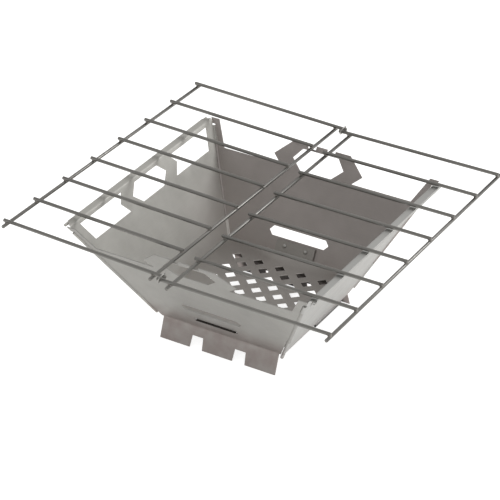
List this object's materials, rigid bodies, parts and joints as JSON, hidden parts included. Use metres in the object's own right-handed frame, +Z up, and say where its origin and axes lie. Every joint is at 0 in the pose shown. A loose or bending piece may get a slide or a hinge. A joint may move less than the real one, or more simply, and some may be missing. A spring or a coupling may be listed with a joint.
{
  "type": "fire pit",
  "caption": "Folding fire pit of leaning steel sheet walls on corner hinges, with a pierced floor plate and a folding wire rod cooking grate laid across the top.",
  "frame": {"origin": "centre of the bounding box, on the ground under the feet; the pit's own centre stands 3.8 mm to +X and 5.5 mm to -Y of it, because the grate lies off centre", "axes": "+Z up; -Y the front wall, the one with the slot for the floor plate's tab; +X the right wall as seen from the front"},
  "size_m": [0.5648, 0.556, 0.2218],
  "materials": {
    "wall_steel": "brushed, lightly heat-stained",
    "floor_steel": "dull brushed",
    "rod_steel": "drawn wire",
    "link_wire": "drawn wire",
    "pin_steel": "bright drawn"
  },
  "bodies": {
    "pit": {"wall_front": "wall_steel", "wall_back": "wall_steel", "wall_right": "wall_steel", "wall_left": "wall_steel", "hinge_pin_front_left": "pin_steel", "hinge_pin_front_right": "pin_steel", "hinge_pin_back_right": "pin_steel", "hinge_pin_back_left": "pin_steel"},
    "floor": {"floor_plate": "floor_steel", "floor_stud_left": "pin_steel", "floor_stud_right": "pin_steel"},
    "grate_left": {"grate_left_rod_1": "rod_steel", "grate_left_rod_2": "rod_steel", "grate_left_rod_3": "rod_steel", "grate_left_rod_4": "rod_steel", "grate_left_rod_5": "rod_steel", "grate_left_rod_6": "rod_steel", "grate_left_rod_7": "rod_steel", "grate_left_rod_8": "rod_steel", "grate_left_cross_outer": "rod_steel", "grate_left_cross_inner": "rod_steel"},
    "grate_right": {"grate_right_rod_1": "rod_steel", "grate_right_rod_2": "rod_steel", "grate_right_rod_3": "rod_steel", "grate_right_rod_4": "rod_steel", "grate_right_rod_5": "rod_steel", "grate_right_rod_6": "rod_steel", "grate_right_rod_7": "rod_steel", "grate_right_rod_8": "rod_steel", "grate_right_cross_outer": "rod_steel", "grate_right_cross_inner": "rod_steel"},
    "grate_links": {"grate_link_front": "link_wire", "grate_link_back": "link_wire"}
  },
  "joints": [
    {"name": "grate_lift", "type": "slide", "parent": "pit", "child": "grate_left", "axis": [0, 0, 1], "range_m": [0, 0.08]},
    {"name": "grate_fold", "type": "hinge", "parent": "grate_left", "child": "grate_right", "pos_m": [0.00259, -0.00097, 0.2122], "axis": [-0.0122, -0.9999, 0], "range_deg": [0, 95]},
    {"name": "grate_link_turn", "type": "hinge", "parent": "grate_left", "child": "grate_links", "pos_m": [0.00259, -0.00097, 0.2122], "axis": [-0.0122, -0.9999, 0], "range_deg": [0, 67.5]},
    {"name": "floor_tilt", "type": "hinge", "parent": "pit", "child": "floor", "pos_m": [0.00379, -0.12212, 0.0548], "axis": [1, 0, 0], "range_deg": [0, 32]}
  ],
  "couplings": [
    {"joint": "grate_link_turn", "follows": "grate_fold", "ratio": 0.7105}
  ]
}
